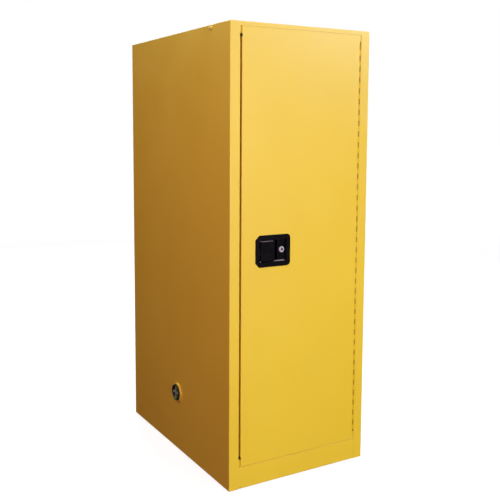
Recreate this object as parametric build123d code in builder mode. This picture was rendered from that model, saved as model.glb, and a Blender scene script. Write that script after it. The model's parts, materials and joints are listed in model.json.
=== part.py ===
from build123d import *
import os

# A single-door flammable storage cabinet with double sheet-steel walls.
# Origin: centre of the footprint, on the floor. +X right, +Y to the back, +Z up, in mm.

# Overall size
WIDTH = 600
DEPTH = 860
HEIGHT = 1650
SHEET = 1.2                      # steel sheet
BEND = 1.8                       # bend radius on the middle of the sheet
WALL = 40                        # outer face to inner face of a double wall
STAND = 2                        # the sheets stop this far above the floor

HALF = WIDTH / 2
FRONT = -DEPTH / 2
BACK = DEPTH / 2
MID = SHEET / 2
JAMB = HALF - WALL               # half of the door opening
LINER_FRONT = FRONT + WALL
LINER_BACK = BACK - WALL

# Door opening: a strip above and below the door, then a face stepped back behind it
STEP = 5
HEADER_BOTTOM = 1635
HEADER_RETURN = 1604
TOE_TOP = 81.5
SILL = 116
SUMP_FLOOR = 66
BASE = 28                        # middle of the bottom sheet
CREASE = 0.7                     # radius of the two bends that face the door
WELD = BEND + MID
NOTCH = (9, 3, 7)                # width, depth and height of the toe's corner notch

# Door
DOOR_LEFT = -253
DOOR_RIGHT = 258                 # above and below the hinge
DOOR_BOTTOM = 83.2
DOOR_TOP = 1634.6
SKIN_DEPTH = 12
LAP_DEPTH = 4                    # the skin's edge where it laps over the stepped faces
LEFT_RELIEF = 6                  # radii of the round corner reliefs beside the door
RIGHT_RELIEF = 4.5
PAN_LEFT = -250
PAN_BOTTOM = 120
PAN_TOP = 1598
PAN_BACK = LINER_FRONT
PAN_INSIDE = PAN_BACK - SHEET

# Piano hinge
HINGE_X = 256.7
HINGE_Y = FRONT + 1.5
HINGE_BOTTOM = 120
KNUCKLE = 20
KNUCKLES = 74
KNUCKLE_GAP = 0.4
KNUCKLE_RADIUS = 3.0
PIN_RADIUS = 1.5
PIN_BORE = 1.55
LEAF_IN = 2.1                    # hinge line to the near face of a leaf
LEAF_OUT = LEAF_IN + SHEET
LEAF_START = 2.8                 # leaf edge facing the other leaf's knuckles
LEAF_END = 28
HINGE_EDGE = HINGE_X - LEAF_OUT
HINGE_TOP = HINGE_BOTTOM + KNUCKLE * KNUCKLES
HINGE_END_GAP = 10
RIVET = 1.6
RIVETS = 12
RIVET_PITCH = 120
RIVET_FIRST = 170
FRAME_RIVET_Y = FRONT + 20
DOOR_RIVET_Y = FRONT + 9
RELIEFS = (
    (-257, SILL, LEFT_RELIEF),
    (-257, HEADER_RETURN, LEFT_RELIEF),
    (HINGE_X, SILL, RIGHT_RELIEF),
    (HINGE_X, HEADER_RETURN, RIGHT_RELIEF),
)

# Latch
DISH_X = -123
DISH_Z = 857
DISH_WIDTH = 147
DISH_HEIGHT = 115
DISH_CHAMFER = 16                # corners beside the paddle
DISH_SOFTEN = 6
DISH_CORNER = 15                 # corners beside the lock
DISH_PROUD = 2.5
DISH_BACK = FRONT + 24
WELL_FLOOR = DISH_BACK - 2.5
WELL = (-179, -100)
LOCK_FLOOR = FRONT + 8
PADDLE_PIN_X = -172
PADDLE_PIN_Y = FRONT + 6
PADDLE = (-174.5, -116)
PADDLE_Z = (820, 893)
PADDLE_FACE = FRONT - 1.5
FINGER_Z = (883.5, 890.5)
CAM_X = -135
CAM_Z = 857
CAM_ARM = 30
CAM_TURN_DROP = 5.4              # how far an arm's end moves sideways over 35 degrees
STUD = 2.5
EYE = STUD + 0.8
CAM_Y = (DISH_BACK + 1.6, DISH_BACK + 4)
ROD_Y = (DISH_BACK + 5.6, DISH_BACK + 8.6)
ROD_HALF = 6
TOP_ROD_X = CAM_X + CAM_ARM
BOTTOM_ROD_X = CAM_X - CAM_ARM
BOLT_Z = (880.5, 895)
BOLT_HEAD_X = -147               # the bolt is taller from here on, around the cam's stud
BOLT_HEAD_Z = 875
BOLT_TIP = -258
SLOT_SPARE = 2
FINGER_SLOT = (PADDLE_PIN_X - 5, PADDLE_PIN_X + 4.3)     # the finger pushes on the left end
LOCK_X = -81
LOCK_Z = 858
PLUG_RADIUS = 5.95
LOCK_FLANGE = 11
LOCK_BARREL = 9.5
OPEN_FRONT = FRONT - 5           # cuts into the dish start here, in the open
NUT_HEIGHT = 4

# Shelves
SHELF_HALF = 247
SHELF_HALF_DEPTH = 375
SHELF_LIP = 28
SHELF_PITCH = 385
SHELF_FIRST = 450
STANDARD_Y = 300
STANDARD_FACE = JAMB - 9
STANDARD_Z = (125, 1600)
SLOT_PITCH = 35
SLOT_DROP = 12                   # slot centre below the shelf that it carries
SLOT_SIZE = (4, 12)
CLIP_HALF = 8
CLIP_LEDGE = 13
CLIP_LEG = 25

# Vents, grounding stud and feet
VENT_Y = -12
LEFT_VENT_Z = 236
RIGHT_VENT_Z = 1412
TUBE_RADIUS = 30
TUBE_BORE = 26.5
COLLAR_RADIUS = 37.5
COLLAR_BORE = 32.3
COLLAR_PROUD = 6
GROUND_Y = -294
GROUND_Z = 1639
FOOT_X = 230
FOOT_Y = 360
FOOT_STUD = 5
FOOT_PAD = 22
FOOT_PAD_HEIGHT = 5
FOOT_NUT_HEIGHT = 8
GROUND_STUD = 3
GROUND_WASHER = 9
GROUND_FLATS = 12
GROUND_TIP = -HALF - 9

AROUND = {"X": (0, 90, 0), "Y": (-90, 0, 0), "Z": (0, 0, 0)}
LOW = (Align.MIN, Align.MIN, Align.MIN)


def save(piece, name):
    piece.part.label = name
    export_step(piece.part, f"parts/{name}.step")


def block(x, y, z, mode=Mode.ADD):
    """A box between two values along each axis."""
    with Locations((x[0], y[0], z[0])):
        Box(x[1] - x[0], y[1] - y[0], z[1] - z[0], align=LOW, mode=mode)


def bar(axis, start, length, radius, mode=Mode.ADD):
    """A round bar from a start point, along X, Y or Z."""
    with Locations(Location(start, AROUND[axis])):
        Cylinder(radius, length, align=(Align.CENTER, Align.CENTER, Align.MIN), mode=mode)


def hexagon(axis, start, length, across_flats, mode=Mode.ADD):
    """A hexagonal bar from a start point."""
    with BuildSketch(Plane(Location(start, AROUND[axis]))) as profile:
        RegularPolygon(across_flats / 2, 6, major_radius=False)
    extrude(profile.sketch, amount=length, mode=mode)


def fold(*points, radius=BEND):
    """The cross-section of a bent sheet, from the corners of its middle line.

    radius is one bend radius, or a list with one for each corner.
    """
    with BuildLine(mode=Mode.PRIVATE) as middle:
        FilletPolyline(*points, radius=radius)
    trace(middle.line, line_width=SHEET)


def both(half):
    return (-half, half)


os.makedirs("parts", exist_ok=True)


# ---------------------------------------------------------------- outer body

def cut_reliefs():
    """Round holes where the bends beside the door meet."""
    for x, z, radius in RELIEFS:
        bar("Y", (x, FRONT - 1, z), STEP + 4, radius, Mode.SUBTRACT)


def side_panel(side, vent_z):
    """Side wall with the front stile, the jamb behind it and a back flange, bent from one sheet."""
    with BuildPart() as panel:
        with BuildSketch(Plane.XY.offset(STAND)):
            fold(
                (side * (HALF - 20), BACK - SHEET - MID),
                (side * (HALF - MID), BACK - SHEET - MID),
                (side * (HALF - MID), FRONT + MID),
                (side * (JAMB + MID), FRONT + MID),
                (side * (JAMB + MID), LINER_FRONT),
            )
        extrude(amount=HEIGHT - SHEET - STAND)
        # weld ground flush beside the header
        corner_x = sorted((side * JAMB, side * (JAMB + WELD)))
        block(corner_x, (FRONT, FRONT + WELD), (HEADER_BOTTOM, HEIGHT - SHEET))
        bar("X", (side * HALF - 3, VENT_Y, vent_z), 6, TUBE_RADIUS, Mode.SUBTRACT)
        cut_reliefs()
    return panel


left_side_panel = side_panel(-1, LEFT_VENT_Z)
with left_side_panel:
    # the same weld beside the toe panel, on this side only
    block((-JAMB - WELD, -JAMB), (FRONT, FRONT + WELD), (STAND, TOE_TOP))
    bar("X", (-HALF - 2, GROUND_Y, GROUND_Z), 5, GROUND_STUD, Mode.SUBTRACT)
    block(
        (-JAMB - 2, -JAMB + 1),
        (ROD_Y[0] - SLOT_SPARE, ROD_Y[1] + SLOT_SPARE),
        (BOLT_Z[0] - SLOT_SPARE, BOLT_Z[1] + SLOT_SPARE),
        Mode.SUBTRACT,
    )
save(left_side_panel, "left_side_panel")

right_side_panel = side_panel(1, RIGHT_VENT_Z)
with right_side_panel:
    for i in range(RIVETS):
        rivet_start = (JAMB - 1, FRAME_RIVET_Y, RIVET_FIRST + i * RIVET_PITCH)
        bar("X", rivet_start, 4, RIVET, Mode.SUBTRACT)
save(right_side_panel, "right_side_panel")

with BuildPart() as back_panel:
    block(both(HALF - 2 * SHEET), (BACK - SHEET, BACK), (STAND, HEIGHT - SHEET))
save(back_panel, "back_panel")

with BuildPart() as top_panel:
    with BuildSketch(Plane.XY.offset(HEIGHT - SHEET)):
        RectangleRounded(WIDTH, DEPTH, BEND + MID)
    extrude(amount=SHEET)
    fillet(top_panel.edges().group_by(Axis.Z)[-1], 0.9)
    # header strip, the face stepped back behind the door, and the return over the opening
    with BuildSketch(Plane.YZ.offset(-JAMB)):
        fold(
            (FRONT + MID, HEIGHT - SHEET),
            (FRONT + MID, HEADER_BOTTOM + MID),
            (FRONT + STEP + MID, HEADER_BOTTOM + MID),
            (FRONT + STEP + MID, HEADER_RETURN + MID),
            (LINER_FRONT + 2, HEADER_RETURN + MID),
            radius=[CREASE, BEND, BEND],
        )
    extrude(amount=2 * JAMB)
    # sharp, dressed lower edge of the header
    block(both(JAMB), (FRONT, FRONT + CREASE + MID), (HEADER_BOTTOM, HEADER_BOTTOM + CREASE + MID))
    cut_reliefs()
    block(
        (TOP_ROD_X - ROD_HALF - SLOT_SPARE, TOP_ROD_X + ROD_HALF + SLOT_SPARE),
        (ROD_Y[0] - SLOT_SPARE, ROD_Y[1] + SLOT_SPARE),
        (HEADER_RETURN - 1, HEADER_RETURN + SHEET + 1),
        Mode.SUBTRACT,
    )
save(top_panel, "top_panel")

with BuildPart() as toe_panel:
    with BuildSketch(Plane.YZ.offset(-JAMB)):
        fold(
            (FRONT + 30, STAND + MID),
            (FRONT + MID, STAND + MID),
            (FRONT + MID, TOE_TOP - MID),
            (FRONT + STEP + MID, TOE_TOP - MID),
            (FRONT + STEP + MID, SILL - MID),
            (LINER_FRONT + 2, SILL - MID),
            radius=[BEND, CREASE, BEND, BEND],
        )
    extrude(amount=2 * JAMB)
    cut_reliefs()
    block(
        (BOTTOM_ROD_X - ROD_HALF - SLOT_SPARE, BOTTOM_ROD_X + ROD_HALF + SLOT_SPARE),
        (ROD_Y[0] - SLOT_SPARE, ROD_Y[1] + SLOT_SPARE),
        (SILL - SHEET - 1, SILL + 1),
        Mode.SUBTRACT,
    )
    # corner notch at the foot of the left stile
    notch_x = (-JAMB - 1, -JAMB + NOTCH[0])
    block(notch_x, (FRONT - 1, FRONT + NOTCH[1]), (0, NOTCH[2]), Mode.SUBTRACT)
save(toe_panel, "toe_panel")

with BuildPart() as bottom_panel:
    side_mid = HALF - SHEET - MID
    with BuildSketch(Plane.XZ.offset(-BACK + 2 * WELD)):
        fold((-side_mid, 6), (-side_mid, BASE), (side_mid, BASE), (side_mid, 6))
    extrude(amount=BACK - 2 * WELD - LINER_FRONT - 2)
    with Locations((0, 0, BASE)):
        with GridLocations(2 * FOOT_X, 2 * FOOT_Y, 2, 2):
            Cylinder(FOOT_STUD + 0.3, 4, mode=Mode.SUBTRACT)
save(bottom_panel, "bottom_panel")


# ---------------------------------------------------------------- liner

def side_liner(side, vent_z):
    with BuildPart() as liner:
        x_values = sorted((side * JAMB, side * (JAMB + SHEET)))
        block(x_values, (LINER_FRONT, LINER_BACK + SHEET), (SUMP_FLOOR, HEADER_RETURN + 7))
        bar("X", (side * JAMB - 3, VENT_Y, vent_z), 6, TUBE_RADIUS, Mode.SUBTRACT)
    return liner


save(side_liner(-1, LEFT_VENT_Z), "left_liner")
save(side_liner(1, RIGHT_VENT_Z), "right_liner")

with BuildPart() as back_liner:
    block(both(JAMB), (LINER_BACK, LINER_BACK + SHEET), (SUMP_FLOOR, HEADER_RETURN + 7))
save(back_liner, "back_liner")

LINER_TOP = HEADER_RETURN + SHEET
with BuildPart() as top_liner:
    block(both(JAMB), (LINER_FRONT - 10, LINER_BACK), (LINER_TOP, LINER_TOP + SHEET))
    block(
        (TOP_ROD_X - ROD_HALF - SLOT_SPARE, TOP_ROD_X + ROD_HALF + SLOT_SPARE),
        (LINER_FRONT - 12, ROD_Y[1] + SLOT_SPARE),
        (LINER_TOP - 1, LINER_TOP + SHEET + 1),
        Mode.SUBTRACT,
    )
save(top_liner, "top_liner")

# leak-tight pan that holds a spill below the sill
with BuildPart() as sump_pan:
    pan_y = (LINER_FRONT + 2, LINER_BACK)
    block(both(JAMB), pan_y, (SUMP_FLOOR, SILL))
    fillet(sump_pan.edges().group_by(Axis.Z)[0], 2.4)
    pan_inside = (pan_y[0] + SHEET, pan_y[1] - SHEET)
    block(both(JAMB - SHEET), pan_inside, (SUMP_FLOOR + SHEET, SILL + 1), Mode.SUBTRACT)
save(sump_pan, "sump_pan")

# Z-shaped strips that hold the liner off the outer walls
SPACER_FLANGE = 30
with BuildPart() as wall_spacers:
    outer = HALF - SHEET - MID
    inner = JAMB + SHEET + MID
    for level in (400, 850, 1300):
        for side in (-1, 1):
            with BuildSketch(Plane.XZ.offset(-300)):
                fold(
                    (side * outer, level + SPACER_FLANGE),
                    (side * outer, level),
                    (side * inner, level),
                    (side * inner, level - SPACER_FLANGE),
                )
            extrude(amount=600)
        with BuildSketch(Plane.YZ.offset(-200)):
            fold(
                (BACK - SHEET - MID, level + SPACER_FLANGE),
                (BACK - SHEET - MID, level),
                (LINER_BACK + SHEET + MID, level),
                (LINER_BACK + SHEET + MID, level - SPACER_FLANGE),
            )
        extrude(amount=400)
    with BuildSketch(Plane.YZ.offset(-200)):
        fold(
            (SPACER_FLANGE, HEIGHT - SHEET - MID),
            (0, HEIGHT - SHEET - MID),
            (0, LINER_TOP + SHEET + MID),
            (-SPACER_FLANGE, LINER_TOP + SHEET + MID),
        )
    extrude(amount=400)
save(wall_spacers, "wall_spacers")

with BuildPart() as pan_supports:
    for support_y in (-200, 200):
        with BuildSketch(Plane.YZ.offset(-240)):
            fold(
                (support_y + SPACER_FLANGE, BASE + SHEET),
                (support_y, BASE + SHEET),
                (support_y, SUMP_FLOOR - MID),
                (support_y - SPACER_FLANGE, SUMP_FLOOR - MID),
            )
        extrude(amount=480)
save(pan_supports, "pan_supports")


# ---------------------------------------------------------------- shelves and what carries them

with BuildPart() as shelf_standards:
    slot_count = int((STANDARD_Z[1] - STANDARD_Z[0]) // SLOT_PITCH)
    slots_below = int((SHELF_FIRST - SLOT_DROP - STANDARD_Z[0]) // SLOT_PITCH)
    slots_middle = SHELF_FIRST - SLOT_DROP + SLOT_PITCH * ((slot_count - 1) / 2 - slots_below)
    for side in (-1, 1):
        back_x = side * (JAMB - MID)
        face_x = side * (STANDARD_FACE + MID)
        for centre_y in (-STANDARD_Y, STANDARD_Y):
            with BuildSketch(Plane.XY.offset(STANDARD_Z[0])):
                fold(
                    (back_x, centre_y - 18),
                    (back_x, centre_y - 10),
                    (face_x, centre_y - 10),
                    (face_x, centre_y + 10),
                    (back_x, centre_y + 10),
                    (back_x, centre_y + 18),
                )
            extrude(amount=STANDARD_Z[1] - STANDARD_Z[0])
        with BuildSketch(Plane.YZ.offset(side * STANDARD_FACE)):
            with Locations((0, slots_middle)):
                with GridLocations(2 * STANDARD_Y, SLOT_PITCH, 2, slot_count):
                    Rectangle(*SLOT_SIZE)
        extrude(amount=3, both=True, mode=Mode.SUBTRACT)
save(shelf_standards, "shelf_standards")


def shelf_clips(level):
    """Four hooks that hang in the standards' slots and carry one shelf."""
    ledge = level - 0.3
    with BuildPart() as clips:
        for side in (-1, 1):
            for y in (-STANDARD_Y, STANDARD_Y):
                width = (y - CLIP_HALF, y + CLIP_HALF)
                ledge_x = sorted((side * (STANDARD_FACE - CLIP_LEDGE), side * STANDARD_FACE))
                leg_x = sorted((side * (STANDARD_FACE - 1.5), side * STANDARD_FACE))
                hook_x = sorted((side * STANDARD_FACE, side * (STANDARD_FACE + 4)))
                block(ledge_x, width, (ledge - 2, ledge))
                block(leg_x, width, (ledge - CLIP_LEG, ledge - 2))
                block(hook_x, (y - 1.5, y + 1.5), (level - SLOT_DROP - 4, level - SLOT_DROP + 4))
    return clips


def shelf(level):
    """A spill tray with upturned edges and a rib across the middle underneath."""
    with BuildPart() as tray:
        with BuildSketch(Plane.XY.offset(level)):
            RectangleRounded(2 * SHELF_HALF, 2 * SHELF_HALF_DEPTH, 6)
        extrude(amount=SHELF_LIP)
        fillet(tray.edges().group_by(Axis.Z)[0], 2.4)
        with BuildSketch(Plane.XY.offset(level + SHEET)):
            RectangleRounded(2 * (SHELF_HALF - SHEET), 2 * (SHELF_HALF_DEPTH - SHEET), 6 - SHEET)
        extrude(amount=SHELF_LIP, mode=Mode.SUBTRACT)
        with BuildSketch(Plane.XZ.offset(-350)):
            fold((-45, level - MID), (-20, level - MID), (-20, level - 14),
                 (20, level - 14), (20, level - MID), (45, level - MID))
        extrude(amount=700)
    return tray


for order, shelf_name in enumerate(("lower", "middle", "upper")):
    shelf_level = SHELF_FIRST + order * SHELF_PITCH
    save(shelf_clips(shelf_level), f"{shelf_name}_shelf_clips")
    save(shelf(shelf_level), f"{shelf_name}_shelf")


# ---------------------------------------------------------------- piano hinge

def hinge_leaf(side, first):
    """One leaf: side is +1 for the frame and -1 for the door; first is its lowest knuckle."""
    near_x = HINGE_X + side * LEAF_IN
    far_x = HINGE_X + side * LEAF_OUT
    leaf_x = sorted((near_x, far_x))
    leaf_y = (HINGE_Y + LEAF_START, HINGE_Y + LEAF_END)
    rivet_y = FRAME_RIVET_Y if side > 0 else DOOR_RIVET_Y
    with BuildPart() as leaf:
        block(leaf_x, leaf_y, (HINGE_BOTTOM, HINGE_TOP))
        for k in range(first, KNUCKLES, 2):
            z = HINGE_BOTTOM + k * KNUCKLE + KNUCKLE_GAP / 2
            length = KNUCKLE - KNUCKLE_GAP
            block(leaf_x, (HINGE_Y, leaf_y[0]), (z, z + length))
            bar("Z", (HINGE_X, HINGE_Y, z), length, KNUCKLE_RADIUS)
        bar("Z", (HINGE_X, HINGE_Y, 0), HEIGHT, PIN_BORE, Mode.SUBTRACT)
        for i in range(RIVETS):
            rivet_start = (leaf_x[0] - 1, rivet_y, RIVET_FIRST + i * RIVET_PITCH)
            bar("X", rivet_start, SHEET + 2, RIVET, Mode.SUBTRACT)
    return leaf


save(hinge_leaf(1, 1), "frame_hinge_leaf")
save(hinge_leaf(-1, 0), "door_hinge_leaf")

with BuildPart() as hinge_pin:
    bar("Z", (HINGE_X, HINGE_Y, HINGE_BOTTOM), HINGE_TOP - HINGE_BOTTOM, PIN_RADIUS)
save(hinge_pin, "hinge_pin")


def rivets(start_x, direction, thickness, y):
    """Rivets whose round heads sit on the hinge leaf, with a set head behind the sheets."""
    with BuildPart() as group:
        for i in range(RIVETS):
            z = RIVET_FIRST + i * RIVET_PITCH
            ends = sorted((start_x, start_x + direction * thickness))
            head = sorted((start_x - direction, start_x))
            tail = sorted((start_x + direction * thickness, start_x + direction * (thickness + 0.8)))
            bar("X", (ends[0], y, z), thickness, RIVET)
            bar("X", (head[0], y, z), 1, 3.5)
            bar("X", (tail[0], y, z), 0.8, 2.6)
    return group


save(rivets(HINGE_X + LEAF_IN, 1, 2 * SHEET, FRAME_RIVET_Y), "frame_hinge_rivets")
save(rivets(HINGE_X - LEAF_IN, -1, 3 * SHEET, DOOR_RIVET_Y), "door_hinge_rivets")


# ---------------------------------------------------------------- door

def door_outline():
    """Front outline of the door: a rectangle, cut back along the hinge."""
    with BuildLine() as outline:
        Polyline(
            (DOOR_LEFT, DOOR_BOTTOM),
            (DOOR_RIGHT, DOOR_BOTTOM),
            (DOOR_RIGHT, HINGE_BOTTOM - HINGE_END_GAP),
            (HINGE_EDGE, HINGE_BOTTOM - HINGE_END_GAP),
            (HINGE_EDGE, HINGE_TOP + HINGE_END_GAP),
            (DOOR_RIGHT, HINGE_TOP + HINGE_END_GAP),
            (DOOR_RIGHT, DOOR_TOP),
            (DOOR_LEFT, DOOR_TOP),
            close=True,
        )
    make_face(outline.edges())


DISH_BODY_X = (-188, -60)
DISH_BODY_Z = (812, 902)
SCREW_POINTS = [(DISH_X + x, DISH_Z + z) for x in (-57.5, 66.5) for z in (-50, 50)]
SCREW_RADIUS = 2

with BuildPart() as door_skin:
    with BuildSketch(Plane.XZ.offset(-FRONT)):
        door_outline()
    extrude(amount=-SKIN_DEPTH)
    fillet(door_skin.edges().group_by(Axis.Y)[0], 0.6)
    with BuildSketch(Plane.XZ.offset(-FRONT - SHEET)):
        door_outline()
        offset(amount=-SHEET, kind=Kind.INTERSECTION, mode=Mode.REPLACE)
    extrude(amount=-SKIN_DEPTH, mode=Mode.SUBTRACT)
    block(
        (DISH_BODY_X[0] - 0.5, DISH_BODY_X[1] + 0.5),
        (FRONT - 1, FRONT + SHEET + 1),
        (DISH_BODY_Z[0] - 0.5, DISH_BODY_Z[1] + 0.5),
        Mode.SUBTRACT,
    )
    for x, z in SCREW_POINTS:
        bar("Y", (x, FRONT - 1, z), SHEET + 2, SCREW_RADIUS, Mode.SUBTRACT)
    lap_y = (FRONT + LAP_DEPTH, FRONT + SKIN_DEPTH + 1)
    for lap_z in ((DOOR_BOTTOM - 1, SILL + 2), (HEADER_RETURN - 2, DOOR_TOP + 1)):
        block((DOOR_LEFT - 1, DOOR_RIGHT + 1), lap_y, lap_z, Mode.SUBTRACT)
    cut_reliefs()
    for i in range(RIVETS):
        rivet_start = (HINGE_EDGE - 2, DOOR_RIVET_Y, RIVET_FIRST + i * RIVET_PITCH)
        bar("X", rivet_start, 3, RIVET, Mode.SUBTRACT)
save(door_skin, "door_skin")

with BuildPart() as door_inner_pan:
    pan_right = HINGE_EDGE - SHEET
    pan_front = FRONT + SHEET
    block((PAN_LEFT, pan_right), (pan_front, PAN_BACK), (PAN_BOTTOM, PAN_TOP))
    fillet(door_inner_pan.edges().group_by(Axis.Y)[-1], 2.4)
    block(
        (PAN_LEFT + SHEET, pan_right - SHEET),
        (pan_front - 1, PAN_INSIDE),
        (PAN_BOTTOM + SHEET, PAN_TOP - SHEET),
        Mode.SUBTRACT,
    )
    rod_slot_y = (ROD_Y[0] - 1, ROD_Y[1] + 1)
    for rod_x, wall_z in ((TOP_ROD_X, PAN_TOP - SHEET), (BOTTOM_ROD_X, PAN_BOTTOM)):
        slot_x = (rod_x - ROD_HALF - 1, rod_x + ROD_HALF + 1)
        block(slot_x, rod_slot_y, (wall_z - 1, wall_z + SHEET + 1), Mode.SUBTRACT)
    bolt_slot_z = (BOLT_Z[0] - 1, BOLT_Z[1] + 1)
    block((PAN_LEFT - 1, PAN_LEFT + SHEET + 1), rod_slot_y, bolt_slot_z, Mode.SUBTRACT)
    for i in range(RIVETS):
        rivet_start = (pan_right - 2, DOOR_RIVET_Y, RIVET_FIRST + i * RIVET_PITCH)
        bar("X", rivet_start, 3, RIVET, Mode.SUBTRACT)
save(door_inner_pan, "door_inner_pan")

with BuildPart() as door_stiffener:
    skin_side = FRONT + SHEET + MID
    pan_side = PAN_INSIDE - MID
    with BuildSketch(Plane.XY.offset(150)):
        fold((100, skin_side), (60, skin_side), (60, pan_side), (100, pan_side))
    extrude(amount=1420)
save(door_stiffener, "door_stiffener")


# ---------------------------------------------------------------- latch

with BuildPart() as latch_dish:
    with BuildSketch(Plane.XZ.offset(-FRONT)) as dish_face:
        with Locations((DISH_X, DISH_Z)):
            Rectangle(DISH_WIDTH, DISH_HEIGHT)
        fillet(dish_face.vertices().group_by(Axis.X)[-1], DISH_CORNER)
        chamfer(dish_face.vertices().group_by(Axis.X)[0], DISH_CHAMFER)
        chamfer_end = DISH_X - DISH_WIDTH / 2 + DISH_CHAMFER + 1
        fillet(dish_face.vertices().filter_by(lambda point: point.X < chamfer_end), DISH_SOFTEN)
    extrude(amount=DISH_PROUD)
    fillet(latch_dish.edges().group_by(Axis.Y)[0], 1.4)
    block(DISH_BODY_X, (FRONT, DISH_BACK), DISH_BODY_Z)
    body_edges = latch_dish.edges().filter_by(Axis.Y).filter_by_position(Axis.Y, FRONT, DISH_BACK)
    fillet(body_edges.group_by(SortBy.LENGTH)[-1], 5)
    # well for the paddle and the fingers, and the shallower recess around the lock
    well_z = (PADDLE_Z[0] - 3, PADDLE_Z[1] + 3)
    lock_recess_x = (WELL[1] - 1, -66)
    well_y = (OPEN_FRONT, WELL_FLOOR)
    block((WELL[0], PADDLE[1] + 1.5), well_y, well_z, Mode.SUBTRACT)
    block((PADDLE[1], WELL[1]), well_y, (PADDLE_Z[0], well_z[1]), Mode.SUBTRACT)
    block(lock_recess_x, (OPEN_FRONT, LOCK_FLOOR), (PADDLE_Z[0], well_z[1]), Mode.SUBTRACT)
    # sloped lower lip of the finger recess
    with BuildSketch(Plane.YZ.offset(PADDLE[1] - 6)):
        with BuildLine():
            Polyline(
                (OPEN_FRONT, well_z[0] - 6),
                (OPEN_FRONT, well_z[0] + 4),
                (LOCK_FLOOR, well_z[0] + 4),
                (FRONT - DISH_PROUD, well_z[0] - 6),
                close=True,
            )
        make_face()
    extrude(amount=lock_recess_x[1] - PADDLE[1] + 6, mode=Mode.SUBTRACT)
    # room behind the lock recess for the lock's nut
    block((WELL[1] + 1.5, DISH_BODY_X[1] - 3), (LOCK_FLOOR + 2, DISH_BACK + 1),
          (DISH_BODY_Z[0] + 3, DISH_BODY_Z[1] - 3), Mode.SUBTRACT)
    bar("Y", (LOCK_X, OPEN_FRONT, LOCK_Z), 20, LOCK_BARREL, Mode.SUBTRACT)
    # slot for the paddle's finger, and the bores of the paddle's pin
    block((PADDLE_PIN_X - 4.5, PADDLE_PIN_X + 18), (WELL_FLOOR - 1, DISH_BACK + 1),
          (FINGER_Z[0] - 1.5, FINGER_Z[1] + 1.5), Mode.SUBTRACT)
    bar("Z", (PADDLE_PIN_X, PADDLE_PIN_Y, well_z[0] - 3), well_z[1] - well_z[0] + 6,
        PIN_RADIUS, Mode.SUBTRACT)
    # pivot of the cam plate, and blind holes for the fixing screws
    bar("Y", (CAM_X, DISH_BACK - 1, CAM_Z), 12, 4)
    for x, z in SCREW_POINTS:
        bar("Y", (x, FRONT - 1.7, z), 2, SCREW_RADIUS, Mode.SUBTRACT)
save(latch_dish, "latch_dish")

with BuildPart() as latch_screws:
    for x, z in SCREW_POINTS:
        bar("Y", (x, FRONT - 1.7, z), 1.7 + SHEET, SCREW_RADIUS)
        bar("Y", (x, FRONT + SHEET, z), 2.2, 3.6)
save(latch_screws, "latch_screws")

KNUCKLE_ENDS = ((PADDLE_Z[0], 842), (868, PADDLE_Z[1]))
with BuildPart() as latch_paddle:
    block(PADDLE, (PADDLE_FACE, PADDLE_FACE + 4), PADDLE_Z)
    fillet(latch_paddle.edges().filter_by(Axis.Y), 2)
    chamfer(latch_paddle.faces().sort_by(Axis.Y)[0].edges(), 1.6)
    with BuildSketch(Plane.XZ.offset(-PADDLE_FACE)):
        with Locations(((PADDLE[0] + PADDLE[1]) / 2, sum(PADDLE_Z) / 2)):
            RectangleRounded(PADDLE[1] - PADDLE[0] - 10, PADDLE_Z[1] - PADDLE_Z[0] - 10, 2)
    extrude(amount=-1.2, mode=Mode.SUBTRACT)
    # small finger ridge in the middle of the face
    block((-152, -142), (PADDLE_FACE + 0.6, PADDLE_FACE + 1.4), (857, 858.4))
    # lip behind the free edge, for the fingers
    block((PADDLE[1] - 3, PADDLE[1] - 0.8), (PADDLE_FACE + 3, PADDLE_FACE + 11),
          (PADDLE_Z[0] + 3, PADDLE_Z[1] - 3))
    for z0, z1 in KNUCKLE_ENDS:
        block((PADDLE[0], PADDLE[0] + 4), (PADDLE_FACE + 3, PADDLE_PIN_Y), (z0, z1))
        bar("Z", (PADDLE_PIN_X, PADDLE_PIN_Y, z0), z1 - z0, 2.8)
    # finger that reaches through the dish and pulls the side bolt
    block((PADDLE_PIN_X - 2, PADDLE_PIN_X + 2), (PADDLE_PIN_Y, PAN_INSIDE - 1.8), FINGER_Z)
    bar("Z", (PADDLE_PIN_X, PADDLE_PIN_Y, PADDLE_Z[0] - 1), 80, PIN_BORE, Mode.SUBTRACT)
save(latch_paddle, "latch_paddle")

with BuildPart() as paddle_pin:
    bar("Z", (PADDLE_PIN_X, PADDLE_PIN_Y, PADDLE_Z[0] - 6),
        PADDLE_Z[1] - PADDLE_Z[0] + 12, PIN_RADIUS)
save(paddle_pin, "paddle_pin")

# torsion spring round the middle of the paddle's pin
with BuildPart() as paddle_spring:
    coil_radius = 2.9
    with BuildLine() as coil:
        Helix(pitch=1.5, height=15, radius=coil_radius,
              center=(PADDLE_PIN_X, PADDLE_PIN_Y, 847.5))
    with BuildSketch(Plane(coil.line @ 0, z_dir=coil.line % 0)):
        Circle(0.5)
    sweep(path=coil.line, is_frenet=True)
save(paddle_spring, "paddle_spring")

with BuildPart() as latch_cam:
    with BuildSketch(Plane.XZ.offset(-CAM_Y[1])):
        with Locations((CAM_X, CAM_Z)):
            Circle(11)
            with PolarLocations(0, 3, start_angle=0, angular_range=270):
                with Locations((CAM_ARM / 2, 0)):
                    SlotCenterToCenter(CAM_ARM, 10)
    extrude(amount=CAM_Y[1] - CAM_Y[0])
    for x, z in ((CAM_ARM, 0), (0, CAM_ARM), (-CAM_ARM, 0)):
        bar("Y", (CAM_X + x, CAM_Y[1] - 1, CAM_Z + z), 6.2, STUD)
    bar("Y", (CAM_X, CAM_Y[0] - 1, CAM_Z), 6, 4.06, Mode.SUBTRACT)
save(latch_cam, "latch_cam")

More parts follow.
